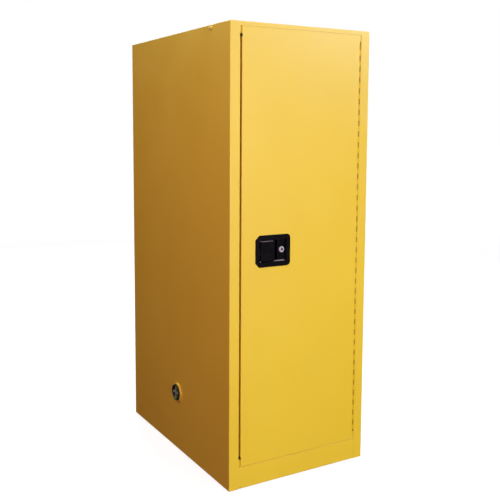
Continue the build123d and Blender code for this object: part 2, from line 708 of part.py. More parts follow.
with BuildPart() as cam_nut:
    bar("Y", (CAM_X, CAM_Y[1] + 0.4, CAM_Z), 1.2, 8)
    hexagon("Y", (CAM_X, CAM_Y[1] + 1.6, CAM_Z), NUT_HEIGHT, 12)
    bar("Y", (CAM_X, CAM_Y[1], CAM_Z), 8, 4, Mode.SUBTRACT)
save(cam_nut, "cam_nut")


def rod(x, tip, toward_cam):
    """Flat locking rod with a slotted eye for the cam's stud; toward_cam is the eye's long side."""
    up = tip > CAM_Z
    eye_x = sorted((x - toward_cam * ROD_HALF, x + toward_cam * (CAM_TURN_DROP + EYE + 4)))
    eye_z = (CAM_Z - 8, CAM_Z + 5.5)
    bar_z = (CAM_Z, tip) if up else (tip, CAM_Z)
    with BuildPart() as piece:
        block(eye_x, ROD_Y, eye_z)
        block((x - ROD_HALF, x + ROD_HALF), ROD_Y, bar_z)
        with BuildSketch(Plane.XZ.offset(-ROD_Y[0] + 1)):
            with Locations((x + toward_cam * CAM_TURN_DROP / 2, CAM_Z)):
                SlotCenterToCenter(CAM_TURN_DROP, 2 * EYE)
        extrude(amount=-6, mode=Mode.SUBTRACT)
        ends = piece.edges().filter_by(Axis.Y).group_by(Axis.Z)
        fillet(ends[-1] if up else ends[0], 4)
    return piece


save(rod(TOP_ROD_X, HEADER_RETURN - 1, -1), "top_rod")
save(rod(BOTTOM_ROD_X, SILL + 1, 1), "bottom_rod")

with BuildPart() as side_bolt:
    block((BOLT_TIP, BOLT_HEAD_X), ROD_Y, BOLT_Z)
    fillet(side_bolt.edges().filter_by(Axis.Y).group_by(Axis.X)[0], 3)
    block((BOLT_HEAD_X, CAM_X + 6), ROD_Y, (BOLT_HEAD_Z, BOLT_Z[1]))
    block(FINGER_SLOT, (ROD_Y[0] - 1, ROD_Y[1] + 1),
          (FINGER_Z[0] - 0.8, FINGER_Z[1] + 0.8), Mode.SUBTRACT)
    with BuildSketch(Plane.XZ.offset(-ROD_Y[0] + 1)):
        with Locations((CAM_X, CAM_Z + CAM_ARM - CAM_TURN_DROP / 2)):
            SlotCenterToCenter(CAM_TURN_DROP, 2 * EYE, rotation=90)
    extrude(amount=-6, mode=Mode.SUBTRACT)
save(side_bolt, "side_bolt")

with BuildPart() as rod_guides:
    guide_y = (ROD_Y[0] - 2.5, PAN_INSIDE)
    slot_y = (ROD_Y[0] - 0.5, ROD_Y[1] + 0.5)
    for x, levels in ((TOP_ROD_X, (1100, 1500)), (BOTTOM_ROD_X, (220, 600))):
        for z in levels:
            block((x - 11, x + 11), guide_y, (z - 8, z + 8))
            block((x - 6.6, x + 6.6), slot_y, (z - 9, z + 9), Mode.SUBTRACT)
    block((-233, -217), guide_y, (BOLT_Z[0] - 4, BOLT_Z[1] + 4))
    block((-234, -216), slot_y, (BOLT_Z[0] - 0.6, BOLT_Z[1] + 0.6), Mode.SUBTRACT)
save(rod_guides, "rod_guides")

with BuildPart() as strike_plates:
    # each plate lies behind the sheet that the rod or bolt enters
    for x, z in ((TOP_ROD_X, LINER_TOP + SHEET), (BOTTOM_ROD_X, SILL - 3 * SHEET)):
        block((x - 20, x + 20), (LINER_FRONT - 20, LINER_FRONT + 1), (z, z + 2 * SHEET))
        block((x - ROD_HALF - 1, x + ROD_HALF + 1), rod_slot_y, (z - 1, z + 2 * SHEET + 1),
              Mode.SUBTRACT)
    block((-JAMB - 3 * SHEET, -JAMB - SHEET), (LINER_FRONT - 20, LINER_FRONT - 1),
          (BOLT_Z[0] - 12, BOLT_Z[1] + 12))
    block((-JAMB - 5, -JAMB), rod_slot_y, bolt_slot_z, Mode.SUBTRACT)
save(strike_plates, "strike_plates")


# ---------------------------------------------------------------- key lock

LOCK_FACE = LOCK_FLOOR - 3
LOCK_REAR = FRONT + 28
with BuildPart() as lock_body:
    bar("Y", (LOCK_X, LOCK_FACE, LOCK_Z), 3, LOCK_FLANGE)
    chamfer(lock_body.edges().group_by(Axis.Y)[0], 2)
    bar("Y", (LOCK_X, LOCK_FLOOR, LOCK_Z), LOCK_REAR - LOCK_FLOOR, LOCK_BARREL)
    bar("Y", (LOCK_X, LOCK_FACE - 1, LOCK_Z), 40, PLUG_RADIUS + 0.05, Mode.SUBTRACT)
save(lock_body, "lock_body")

with BuildPart() as lock_nut:
    hexagon("Y", (LOCK_X, LOCK_FLOOR + 2, LOCK_Z), NUT_HEIGHT, 22)
    bar("Y", (LOCK_X, LOCK_FLOOR, LOCK_Z), 8, LOCK_BARREL, Mode.SUBTRACT)
save(lock_nut, "lock_nut")

CAM_PLATE_Y = ROD_Y[1] + 1
with BuildPart() as lock_plug:
    bar("Y", (LOCK_X, LOCK_FACE + 0.6, LOCK_Z), CAM_PLATE_Y - LOCK_FACE - 0.6, PLUG_RADIUS)
    bar("Y", (LOCK_X, CAM_PLATE_Y, LOCK_Z), 3, 3)
    block((LOCK_X - 0.7, LOCK_X + 0.7), (LOCK_FACE, LOCK_FACE + 14),
          (LOCK_Z - 3.5, LOCK_Z + 3.5), Mode.SUBTRACT)
save(lock_plug, "lock_plug")

with BuildPart() as lock_cam:
    with BuildSketch(Plane.XZ.offset(-CAM_PLATE_Y)):
        with Locations((LOCK_X, LOCK_Z - 8)):
            SlotCenterToCenter(16, 13, rotation=90)
    extrude(amount=-2)
    bar("Y", (LOCK_X, CAM_PLATE_Y - 1, LOCK_Z), 4, 3, Mode.SUBTRACT)
save(lock_cam, "lock_cam")


# ---------------------------------------------------------------- vents

def vent_turn(side, vent_z, *profile):
    """A ring round a vent's axis, from (distance outwards from the liner, radius) points."""
    plane = Plane(origin=(side * JAMB, VENT_Y, vent_z), x_dir=(side, 0, 0), z_dir=(0, -1, 0))
    with BuildSketch(plane) as section:
        with BuildLine():
            Polyline(*profile, close=True)
        make_face()
    revolve(section.sketch, axis=Axis((0, VENT_Y, vent_z), (1, 0, 0)))


VENTS = ((-1, LEFT_VENT_Z), (1, RIGHT_VENT_Z))
RIM = WALL + COLLAR_PROUD
SEAT = WALL + 3
HEAD = SEAT + 1.5
FACE = HEAD + 6
RECESS = 7.5

with BuildPart() as vent_collars:
    for side, vent_z in VENTS:
        vent_turn(
            side, vent_z,
            (-1.5, TUBE_BORE), (-1.5, TUBE_RADIUS), (WALL, TUBE_RADIUS),
            (WALL, COLLAR_RADIUS), (RIM - 1, COLLAR_RADIUS), (RIM, COLLAR_RADIUS - 1),
            (RIM, COLLAR_BORE), (SEAT, COLLAR_BORE), (SEAT, TUBE_BORE),
        )
save(vent_collars, "vent_collars")

with BuildPart() as vent_gaskets:
    for side, vent_z in VENTS:
        vent_turn(side, vent_z, (SEAT, 27), (HEAD, 27), (HEAD, 31), (SEAT, 31))
save(vent_gaskets, "vent_gaskets")

with BuildPart() as vent_screens:
    for side, vent_z in VENTS:
        vent_turn(side, vent_z, (2, 21), (2, TUBE_BORE), (6, TUBE_BORE), (6, 21))
        with BuildSketch(Plane.YZ.offset(side * (JAMB + 3) - 0.4)):
            with Locations((VENT_Y, vent_z)):
                Circle(21.5)
                with GridLocations(5, 5, 9, 9):
                    Rectangle(4, 4, mode=Mode.SUBTRACT)
        extrude(amount=0.8)
save(vent_screens, "vent_screens")


def vent_plug(side, vent_z):
    """A hollow screw plug with a ring and a cross of ribs on its face."""
    with BuildPart() as plug:
        vent_turn(
            side, vent_z,
            (WALL - 18, 22), (WALL - 18, TUBE_BORE - 0.4), (HEAD, TUBE_BORE - 0.4),
            (HEAD, 31.5), (FACE - 1, 31.5), (FACE, 30.5), (FACE, 28), (FACE - 1, 27),
            (FACE - 4, 24), (FACE - RECESS, 23), (FACE - RECESS, 0), (FACE - RECESS - 2, 0),
            (FACE - RECESS - 2, 22),
        )
        rib_x = sorted((side * (JAMB + FACE - RECESS - 0.5), side * (JAMB + FACE - 1.5)))
        block(rib_x, (VENT_Y - 24, VENT_Y + 24), (vent_z - 3, vent_z + 3))
        block(rib_x, (VENT_Y - 3, VENT_Y + 3), (vent_z - 24, vent_z + 24))
    return plug


save(vent_plug(-1, LEFT_VENT_Z), "left_vent_plug")
save(vent_plug(1, RIGHT_VENT_Z), "right_vent_plug")


# ---------------------------------------------------------------- grounding stud

# one-piece brass stud with a hexagonal collar; the wire's ring terminal goes on the free end
STUD_COLLAR = (-HALF - 5, -HALF - 1.5)
with BuildPart() as ground_stud:
    bar("X", (GROUND_TIP, GROUND_Y, GROUND_Z), 15, GROUND_STUD)
    chamfer(ground_stud.edges().group_by(Axis.X)[0], 0.5)
    hexagon("X", (STUD_COLLAR[0], GROUND_Y, GROUND_Z), STUD_COLLAR[1] - STUD_COLLAR[0], GROUND_FLATS)
save(ground_stud, "ground_stud")

with BuildPart() as ground_stud_fixings:
    bar("X", (STUD_COLLAR[1], GROUND_Y, GROUND_Z), -HALF - STUD_COLLAR[1], GROUND_WASHER)
    hexagon("X", (-HALF + SHEET, GROUND_Y, GROUND_Z), 3.5, GROUND_FLATS)
    bar("X", (GROUND_TIP, GROUND_Y, GROUND_Z), 18, GROUND_STUD, Mode.SUBTRACT)
save(ground_stud_fixings, "ground_stud_fixings")


# ---------------------------------------------------------------- levelling feet

with BuildPart() as foot_nuts:
    for x in both(FOOT_X):
        for y in both(FOOT_Y):
            hexagon("Z", (x, y, BASE - MID - FOOT_NUT_HEIGHT), FOOT_NUT_HEIGHT, 17)
            bar("Z", (x, y, BASE - MID - FOOT_NUT_HEIGHT - 1), 10, FOOT_STUD + 0.05, Mode.SUBTRACT)
save(foot_nuts, "foot_nuts")


def levelling_foot(x, y):
    with BuildPart() as foot:
        bar("Z", (x, y, 0), FOOT_PAD_HEIGHT, FOOT_PAD)
        fillet(foot.edges().group_by(Axis.Z)[-1], 2)
        with Locations((x, y, FOOT_PAD_HEIGHT)):
            Cone(16, 8, 6, align=(Align.CENTER, Align.CENTER, Align.MIN))
        bar("Z", (x, y, 10), 50, FOOT_STUD)
    return foot


for foot_name, x, y in (
    ("front_left", -FOOT_X, -FOOT_Y),
    ("front_right", FOOT_X, -FOOT_Y),
    ("back_left", -FOOT_X, FOOT_Y),
    ("back_right", FOOT_X, FOOT_Y),
):
    save(levelling_foot(x, y), f"{foot_name}_foot")
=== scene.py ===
import json
import math
import random

import bmesh
import bpy
from mathutils import Matrix, Vector


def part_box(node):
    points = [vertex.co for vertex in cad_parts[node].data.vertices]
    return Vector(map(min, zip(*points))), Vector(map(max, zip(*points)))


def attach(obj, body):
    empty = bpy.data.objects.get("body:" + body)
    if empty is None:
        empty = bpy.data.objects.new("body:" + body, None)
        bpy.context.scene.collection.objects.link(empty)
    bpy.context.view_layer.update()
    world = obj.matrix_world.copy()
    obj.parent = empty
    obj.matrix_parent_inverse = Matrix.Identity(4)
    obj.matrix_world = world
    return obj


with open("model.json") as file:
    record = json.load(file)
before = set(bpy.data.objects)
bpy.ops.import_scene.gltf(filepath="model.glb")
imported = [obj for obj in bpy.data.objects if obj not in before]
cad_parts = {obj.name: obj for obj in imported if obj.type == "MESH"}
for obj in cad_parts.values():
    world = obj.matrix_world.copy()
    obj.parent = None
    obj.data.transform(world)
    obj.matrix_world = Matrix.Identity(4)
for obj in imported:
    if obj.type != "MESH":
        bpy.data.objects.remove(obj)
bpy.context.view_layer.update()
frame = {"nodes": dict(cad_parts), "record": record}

# A flammable storage cabinet: finishes, fine detail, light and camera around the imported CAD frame.
# Metres, +X right seen from the front, +Y to the back, +Z up, floor at z = 0.

NODES = frame["nodes"]


# ---------------------------------------------------------------- node trees

def socket(tree, target, value):
    """Links a node's output to a socket, or sets a plain value on it."""
    if isinstance(value, bpy.types.NodeSocket):
        tree.links.new(value, target)
    else:
        target.default_value = value


def add(tree, kind, **inputs):
    node = tree.nodes.new(kind)
    for name, value in inputs.items():
        socket(tree, node.inputs[name.replace("_", " ")], value)
    return node


def middle(values):
    return (values[0] + values[1]) / 2


def noise(tree, vector, scale, detail=3.0, roughness=0.5):
    return add(tree, "ShaderNodeTexNoise", Vector=vector, Scale=scale, Detail=detail,
               Roughness=roughness).outputs["Fac"]


def math_node(tree, operation, first, second=0.0):
    node = tree.nodes.new("ShaderNodeMath")
    node.operation = operation
    socket(tree, node.inputs[0], first)
    socket(tree, node.inputs[1], second)
    return node.outputs[0]


def spread(tree, value, low, high, from_low=0.3, from_high=0.7):
    """Maps a value from one range to another and stops at both ends."""
    node = add(tree, "ShaderNodeMapRange", Value=value)
    node.inputs["From Min"].default_value = from_low
    node.inputs["From Max"].default_value = from_high
    node.inputs["To Min"].default_value = low
    node.inputs["To Max"].default_value = high
    return node.outputs["Result"]


def blend(tree, amount, first, second):
    """Mixes two colours."""
    node = tree.nodes.new("ShaderNodeMix")
    node.data_type = "RGBA"
    socket(tree, node.inputs["Factor"], amount)
    socket(tree, node.inputs["A"], first)
    socket(tree, node.inputs["B"], second)
    return node.outputs["Result"]


def bump(tree, height, strength, distance, normal=None):
    node = add(tree, "ShaderNodeBump", Height=height, Strength=strength, Distance=distance)
    if normal is not None:
        socket(tree, node.inputs["Normal"], normal)
    return node.outputs["Normal"]


def edges(tree, radius):
    """Is near 1 along sharp edges and 0 on flat faces."""
    rounded = add(tree, "ShaderNodeBevel", Radius=radius)
    rounded.samples = 4
    true_normal = tree.nodes.new("ShaderNodeNewGeometry").outputs["Normal"]
    facing = tree.nodes.new("ShaderNodeVectorMath")
    facing.operation = "DOT_PRODUCT"
    socket(tree, facing.inputs[0], rounded.outputs["Normal"])
    socket(tree, facing.inputs[1], true_normal)
    return spread(tree, facing.outputs["Value"], 1.0, 0.0, 0.80, 0.995)


def crevices(tree, reach):
    """Is near 1 in the open and falls towards 0 deep in gaps and corners."""
    occlusion = add(tree, "ShaderNodeAmbientOcclusion", Distance=reach)
    occlusion.samples = 8
    return occlusion.outputs["AO"]


def inside(tree, place, low, high, soft=0.0006):
    """Is 1 inside a box in the object's own coordinates, with soft sides."""
    axes = add(tree, "ShaderNodeSeparateXYZ", Vector=place)
    amount = 1.0
    for axis, bottom, top in zip(axes.outputs, low, high):
        centre, half = (bottom + top) / 2, (top - bottom) / 2
        offset = math_node(tree, "ABSOLUTE", math_node(tree, "SUBTRACT", axis, centre))
        within = spread(tree, offset, 1.0, 0.0, half - soft, half + soft)
        amount = math_node(tree, "MULTIPLY", amount, within)
    return amount


def new_material(name):
    """An empty Principled material with the object's own coordinates, in metres."""
    material = bpy.data.materials.new(name)
    material.use_nodes = True
    tree = material.node_tree
    shader = tree.nodes["Principled BSDF"]
    place = tree.nodes.new("ShaderNodeTexCoord").outputs["Object"]
    return material, tree, shader, place


def stretched(tree, place, x, y, z):
    node = add(tree, "ShaderNodeMapping", Vector=place)
    node.inputs["Scale"].default_value = (x, y, z)
    return node.outputs["Vector"]


# ---------------------------------------------------------------- materials

# near-black painted shade, used in the round reliefs beside the door
PAINTED_RELIEF_SHADE = (0.045, 0.024, 0.002, 1)
# pinkish-grey painted highlight, used on the latch's sloped lip and the paddle's top edge
PAINTED_HIGHLIGHT = (0.30, 0.24, 0.27, 1)


def powder_coat(name, light, dark, worn, gap_light_and_shade, shaded_boxes=()):
    """Baked powder coat: cloudiness, orange peel, wavy sheet, paler worn edges, painted light and
    shade deep in gaps, and painted shade in listed boxes.
    """
    material, tree, shader, place = new_material(name)
    cloud = noise(tree, place, 2.3, 4.0)
    speck = noise(tree, place, 1400.0, 2.0)
    colour = blend(tree, spread(tree, cloud, 0.0, 1.0), light, dark)
    colour = blend(tree, spread(tree, speck, 0.0, 0.10, 0.45, 0.75), colour, dark)
    wear = math_node(tree, "MULTIPLY", edges(tree, 0.0011),
                     spread(tree, noise(tree, place, 18.0, 5.0), 0.15, 0.6))
    colour = blend(tree, wear, colour, worn)
    # painted light and shade: deep in gaps and corners the colour turns to the gap tone, brighter
    # than the sheet on the yellow and darker on the hinge paints
    colour = blend(tree, spread(tree, crevices(tree, 0.022), 0.0, 1.0, 0.06, 0.55), gap_light_and_shade, colour)
    # painted shade: near-black in each listed box
    for low_corner, high_corner in shaded_boxes:
        colour = blend(tree, inside(tree, place, low_corner, high_corner), colour, PAINTED_RELIEF_SHADE)
    socket(tree, shader.inputs["Base Color"], colour)
    rough = spread(tree, noise(tree, place, 7.0, 4.0), 0.36, 0.44)
    socket(tree, shader.inputs["Roughness"], rough)
    wave = bump(tree, noise(tree, place, 3.2, 1.0), 0.35, 0.0016)
    peel = bump(tree, noise(tree, place, 420.0, 2.0), 0.22, 0.00022, wave)
    socket(tree, shader.inputs["Normal"], peel)
    shader.inputs["Specular IOR Level"].default_value = 0.42
    shader.inputs["Coat Weight"].default_value = 0.05
    shader.inputs["Coat Roughness"].default_value = 0.25
    return material


def black_finish(name, base, edge_highlight, highlight_boxes=()):
    """Satin black paint with a painted highlight along its edges and a painted pinkish-grey
    highlight in listed boxes.
    """
    material, tree, shader, place = new_material(name)
    tone = blend(tree, spread(tree, noise(tree, place, 35.0, 4.0), 0.0, 1.0), base,
                 tuple(min(1.0, 1.8 * c) for c in base[:3]) + (1.0,))
    # painted highlight along the edges
    colour = blend(tree, math_node(tree, "MULTIPLY", edges(tree, 0.0009), 0.6), tone, edge_highlight)
    patches = spread(tree, noise(tree, place, 60.0, 3.0), 0.6, 1.0)
    # painted highlight: patchy pinkish grey in each listed box
    for low_corner, high_corner in highlight_boxes:
        wear_and_highlight = math_node(tree, "MULTIPLY", inside(tree, place, low_corner, high_corner), patches)
        colour = blend(tree, wear_and_highlight, colour, PAINTED_HIGHLIGHT)
    socket(tree, shader.inputs["Base Color"], colour)
    socket(tree, shader.inputs["Roughness"], spread(tree, noise(tree, place, 60.0, 3.0), 0.26, 0.42))
    grain = bump(tree, noise(tree, place, 700.0, 3.0, 0.6), 0.25, 0.0002)
    socket(tree, shader.inputs["Normal"], grain)
    shader.inputs["Specular IOR Level"].default_value = 0.04
    return material


def vent_finish(name, node_name):
    """Near-black painted shade over the plug's recess, with paler, greenish ribs crossing at the
    plug's middle.
    """
    material, tree, shader, place = new_material(name)
    low_corner, high_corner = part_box(node_name)
    middle_y = (low_corner[1] + high_corner[1]) / 2
    middle_z = (low_corner[2] + high_corner[2]) / 2
    reach, half_rib, everywhere = 0.024, 0.0034, 1.0
    across = inside(tree, place, (-everywhere, middle_y - reach, middle_z - half_rib),
                    (everywhere, middle_y + reach, middle_z + half_rib))
    upright = inside(tree, place, (-everywhere, middle_y - half_rib, middle_z - reach),
                     (everywhere, middle_y + half_rib, middle_z + reach))
    ribs = math_node(tree, "MAXIMUM", across, upright)
    cloud = noise(tree, place, 90.0, 4.0)
    mottle = spread(tree, cloud, 0.0, 1.0)
    # painted shade: the near-black ground stands in for the shade in the plug's recess
    ground = blend(tree, mottle, (0.008, 0.010, 0.003, 1), (0.018, 0.020, 0.007, 1))
    metal = blend(tree, mottle, (0.17, 0.23, 0.09, 1), (0.34, 0.42, 0.20, 1))
    colour = blend(tree, ribs, ground, metal)
    wear_and_highlight = math_node(tree, "MULTIPLY", edges(tree, 0.0006), 0.35)
    colour = blend(tree, wear_and_highlight, colour, (0.30, 0.28, 0.22, 1))
    socket(tree, shader.inputs["Base Color"], colour)
    socket(tree, shader.inputs["Roughness"], spread(tree, noise(tree, place, 140.0), 0.34, 0.55))
    socket(tree, shader.inputs["Normal"], bump(tree, noise(tree, place, 520.0, 4.0), 0.4, 0.0002))
    shader.inputs["Specular IOR Level"].default_value = 0.25
    return material


def bare_metal(name, light, dark, rough_low, rough_high, streaks, peen=0.12, metallic=1.0):
    """Plated or cast metal, with streaks along the drawing direction."""
    material, tree, shader, place = new_material(name)
    line = noise(tree, stretched(tree, place, *streaks), 1.0, 4.0, 0.6)
    patch = noise(tree, place, 26.0, 4.0)
    amount = math_node(tree, "MULTIPLY",
                       spread(tree, line, 0.2, 1.0), spread(tree, patch, 0.4, 1.0))
    colour = blend(tree, amount, dark, light)
    colour = blend(tree, math_node(tree, "MULTIPLY", edges(tree, 0.0006), 0.5), colour,
                   tuple(min(1.0, 1.25 * c) for c in light[:3]) + (1.0,))
    socket(tree, shader.inputs["Base Color"], colour)
    socket(tree, shader.inputs["Roughness"], spread(tree, line, rough_low, rough_high))
    fine = bump(tree, line, peen, 0.00015)
    socket(tree, shader.inputs["Normal"], bump(tree, noise(tree, place, 500.0), peen, 0.0001, fine))
    shader.inputs["Metallic"].default_value = metallic
    return material


def rubber(name):
    material, tree, shader, place = new_material(name)
    cloud = noise(tree, place, 80.0, 4.0)
    tone = blend(tree, cloud, (0.012, 0.012, 0.012, 1), (0.035, 0.034, 0.033, 1))
    socket(tree, shader.inputs["Base Color"], tone)
    socket(tree, shader.inputs["Roughness"], spread(tree, noise(tree, place, 200.0), 0.6, 0.8))
    socket(tree, shader.inputs["Normal"], bump(tree, noise(tree, place, 900.0), 0.3, 0.0002))
    return material


# painted shade in the round reliefs at the ends of the gap beside the door
TOE_LOW, TOE_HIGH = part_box("toe_panel")
GAP_LEFT, FRONT = TOE_LOW[:2]
SILL = TOE_HIGH[2]
HEADER_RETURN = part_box("top_panel")[0][2]
HINGE_LINE = middle([corner[0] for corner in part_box("hinge_pin")])
RELIEF_BOXES = [
    ((GAP_LEFT - 0.003, FRONT + 0.001, level - 0.0055),
     (GAP_LEFT + 0.0095, FRONT + 0.04, level + 0.0055))
    for level in (SILL, HEADER_RETURN)
]
RELIEF_BOXES.append(((HINGE_LINE - 0.003, FRONT + 0.001, SILL - 0.0035),
                     (HINGE_LINE + 0.0045, FRONT + 0.04, SILL + 0.0045)))
# the gap tone here is painted light, brighter than the sheet, for the bottoms of the gaps round the
# door
YELLOW = powder_coat("yellow_powder_coat", (0.83, 0.558, 0.036, 1), (0.80, 0.528, 0.031, 1),
                     (0.93, 0.70, 0.14, 1), (0.95, 0.56, 0.012, 1), RELIEF_BOXES)

# painted highlight boxes: the sloped lip under the lock, and the paddle's top edge
DISH_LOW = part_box("latch_dish")[0]
PADDLE_LOW, PADDLE_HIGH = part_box("latch_paddle")
LIP_BOX = ((DISH_LOW[0] + 0.062, FRONT + 0.001, DISH_LOW[2] + 0.0175),
           (DISH_LOW[0] + 0.128, FRONT + 0.009, DISH_LOW[2] + 0.0210))
PADDLE_EDGE_BOX = ((PADDLE_LOW[0] + 0.003, FRONT - 0.003, PADDLE_HIGH[2] - 0.0016),
                   (PADDLE_LOW[0] + 0.052, FRONT + 0.002, PADDLE_HIGH[2] + 0.001))
BLACK = black_finish("satin_black", (0.0035, 0.0028, 0.0036, 1), (0.030, 0.025, 0.032, 1),
                     (LIP_BOX, PADDLE_EDGE_BOX))
ZINC = bare_metal("zinc_plating", (0.72, 0.73, 0.72, 1), (0.48, 0.49, 0.46, 1), 0.28, 0.46,
                  (40.0, 40.0, 900.0))
CAST = bare_metal("cast_zinc", (0.50, 0.51, 0.47, 1), (0.26, 0.27, 0.24, 1), 0.42, 0.62,
                  (260.0, 260.0, 260.0), 0.35)
# painted shade: the hinge knuckles are yellow paint in shade; the frame leaf and pin get a brown
# copy of the powder coat, the door leaf a duller yellow one, and their gap tones are darker still
SHADED_FRAME_HINGE = powder_coat("frame_hinge_painted_shade", (0.48, 0.27, 0.006, 1), (0.40, 0.22, 0.004, 1),
                         (0.52, 0.30, 0.02, 1), (0.30, 0.16, 0.003, 1))
SHADED_DOOR_HINGE = powder_coat("door_hinge_painted_shade", (0.80, 0.51, 0.016, 1), (0.74, 0.46, 0.012, 1),
                        (0.82, 0.54, 0.04, 1), (0.62, 0.36, 0.008, 1))
for hinge_paint in (SHADED_FRAME_HINGE, SHADED_DOOR_HINGE):
    hinge_paint.node_tree.nodes["Principled BSDF"].inputs["Specular IOR Level"].default_value = 0.1
# painted reflection: the lock ring's pale lilac colour, partly diffuse, stands in for the bright
# reflection in its chrome
LOCK_RING = bare_metal("chrome_with_painted_reflection", (0.64, 0.53, 0.61, 1), (0.46, 0.37, 0.43, 1), 0.38, 0.5,
                       (300.0, 300.0, 300.0), 0.08, 0.3)
# painted shade: the lock's core is dark for the shade in its recess
SHADED_LOCK_CORE = bare_metal("lock_core_painted_shade", (0.10, 0.08, 0.09, 1), (0.03, 0.025, 0.03, 1), 0.35, 0.5,
                       (300.0, 300.0, 300.0), 0.1, 0.4)
CHROME = bare_metal("chrome", (0.83, 0.82, 0.86, 1), (0.66, 0.65, 0.70, 1), 0.10, 0.2,
                    (300.0, 300.0, 300.0), 0.05)
BRASS = bare_metal("brass", (1.0, 0.80, 0.22, 1), (0.84, 0.62, 0.13, 1), 0.30, 0.45,
                   (400.0, 60.0, 60.0), 0.15, 0.3)
RUBBER = rubber("rubber")

SLOT_FINISH = {
    "yellow_powder_coat": YELLOW,
    "zinc_plated_steel": ZINC,
    "cast_zinc": CAST,
    "black_paint": BLACK,
    "chrome": CHROME,
    "brass": BRASS,
    "rubber": RUBBER,
}


def finish_node(name, material):
    mesh = NODES[name].data
    if not mesh.materials:
        mesh.materials.append(material)
    for index in range(len(mesh.materials)):
        mesh.materials[index] = material


for part in frame["record"]["subparts"]:
    finish_node(part["node"], SLOT_FINISH[part["material_slot"]])
# painted shade on the hinge leaves and pin
finish_node("frame_hinge_leaf", SHADED_FRAME_HINGE)
finish_node("hinge_pin", SHADED_FRAME_HINGE)
finish_node("door_hinge_leaf", SHADED_DOOR_HINGE)
finish_node("lock_body", LOCK_RING)
finish_node("lock_plug", SHADED_LOCK_CORE)
for vent_side in ("left", "right"):
    plug_name = f"{vent_side}_vent_plug"
    finish_node(plug_name, vent_finish(f"{vent_side}_plug_casting", plug_name))


# ---------------------------------------------------------------- welds and threads

SHEET = 0.0012
DIMPLE_SIDES = 14
SPOT_RADIUS = 0.0032
SPOT_HEIGHT = 0.0003
SPOT_WANDER = 0.002
WALL_SPOTS = 24
WALL_SPOT_START = 0.045
WALL_SPOT_PITCH = 0.062
DOOR_SPOTS = 22
DOOR_SPOT_START = 0.04
DOOR_SPOT_PITCH = 0.0665
BEAD_SIDES = 8
BEAD_STEP = 0.0022
BEAD_RADIUS = 0.0016
BEAD_INSET = 0.0006
THREAD_SIDES = 6
THREAD_STEPS = 48
THREAD_TURNS = 7
THREAD_START = 0.0025
THREAD_PITCH = 0.0022
THREAD_RADIUS = 0.0259
THREAD_HEIGHT = 0.00045


def new_piece(name, build, material, body):
    """Turns a bmesh into a smooth-shaded piece that rides on a body."""
    bmesh.ops.recalc_face_normals(build, faces=build.faces)
    mesh = bpy.data.meshes.new(name)
    build.to_mesh(mesh)
    build.free()
    for polygon in mesh.polygons:
        polygon.use_smooth = True
    mesh.materials.append(material)
    piece = bpy.data.objects.new(name, mesh)
    bpy.context.scene.collection.objects.link(piece)
    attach(piece, body)
    return piece


def basis(direction):
    """Two directions square to the one given."""
    along = Vector(direction).normalized()
    across = along.orthogonal().normalized()
    return along, across, along.cross(across)


def add_dimple(build, place, normal, radius, height):
    """The shallow ring that a spot weld leaves on a sheet."""
    along, across, third = basis(normal)
    centre = Vector(place)
    rings = []
    for ring_radius, ring_height in ((1.0, 0.0), (0.82, 0.8), (0.62, 1.0), (0.4, 0.45)):
        ring = []
        for k in range(DIMPLE_SIDES):
            angle = math.tau * k / DIMPLE_SIDES
            spoke = across * math.cos(angle) + third * math.sin(angle)
            rim = centre + spoke * radius * ring_radius + along * height * ring_height
            ring.append(build.verts.new(rim))
        rings.append(ring)
    for outer, inner in zip(rings, rings[1:]):
        for k in range(DIMPLE_SIDES):
            following = (k + 1) % DIMPLE_SIDES
            build.faces.new((outer[k], outer[following], inner[following], inner[k]))
    build.faces.new(rings[-1])
    build.faces.new(list(reversed(rings[0])))


def add_tube(build, points, radii, sides):
    """A closed tube through points, with a radius at each."""
    rings = []
    for index, (point, radius) in enumerate(zip(points, radii)):
        ahead = points[min(index + 1, len(points) - 1)]
        behind = points[max(index - 1, 0)]
        along = (ahead - behind).normalized()
        across = along.cross(Vector((0.31, 0.57, 0.76))).normalized()
        third = along.cross(across)
        ring = []
        for k in range(sides):
            angle = math.tau * k / sides
            spoke = across * math.cos(angle) + third * math.sin(angle)
            ring.append(build.verts.new(point + spoke * radius))
        rings.append(ring)
    for first, second in zip(rings, rings[1:]):
        for k in range(sides):
            following = (k + 1) % sides
            build.faces.new((first[k], first[following], second[following], second[k]))
    build.faces.new(rings[0])
    build.faces.new(rings[-1])


def weld_bead(build, start, end, radius, dice):
    """A hand-laid weld: a string of overlapping ripples along a seam."""
    start, end = Vector(start), Vector(end)
    steps = max(4, int((end - start).length / BEAD_STEP))
    points = [start.lerp(end, k / steps) for k in range(steps + 1)]
    radii = [radius * (0.82 + 0.28 * (k % 2) + dice.uniform(-0.06, 0.06)) for k in range(steps + 1)]
    radii[0] = radii[-1] = radius * 0.5
    add_tube(build, points, radii, BEAD_SIDES)


dice = random.Random(7)

liner_low, liner_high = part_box("left_liner")
right_wall_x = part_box("right_liner")[0][0]
pan_low, pan_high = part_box("sump_pan")
spots = bmesh.new()
for row in range(WALL_SPOTS):
    z = pan_high[2] + WALL_SPOT_START + row * WALL_SPOT_PITCH
    for wall_x, inward in ((liner_high[0], 1.0), (right_wall_x, -1.0)):
        for y in (liner_low[1] - 0.005, liner_high[1] - 0.010):
            spot_z = z + dice.uniform(-SPOT_WANDER, SPOT_WANDER)
            add_dimple(spots, (wall_x, y, spot_z), (inward, 0, 0), SPOT_RADIUS, SPOT_HEIGHT)
new_piece("cabinet_spot_welds", spots, YELLOW, "cabinet")

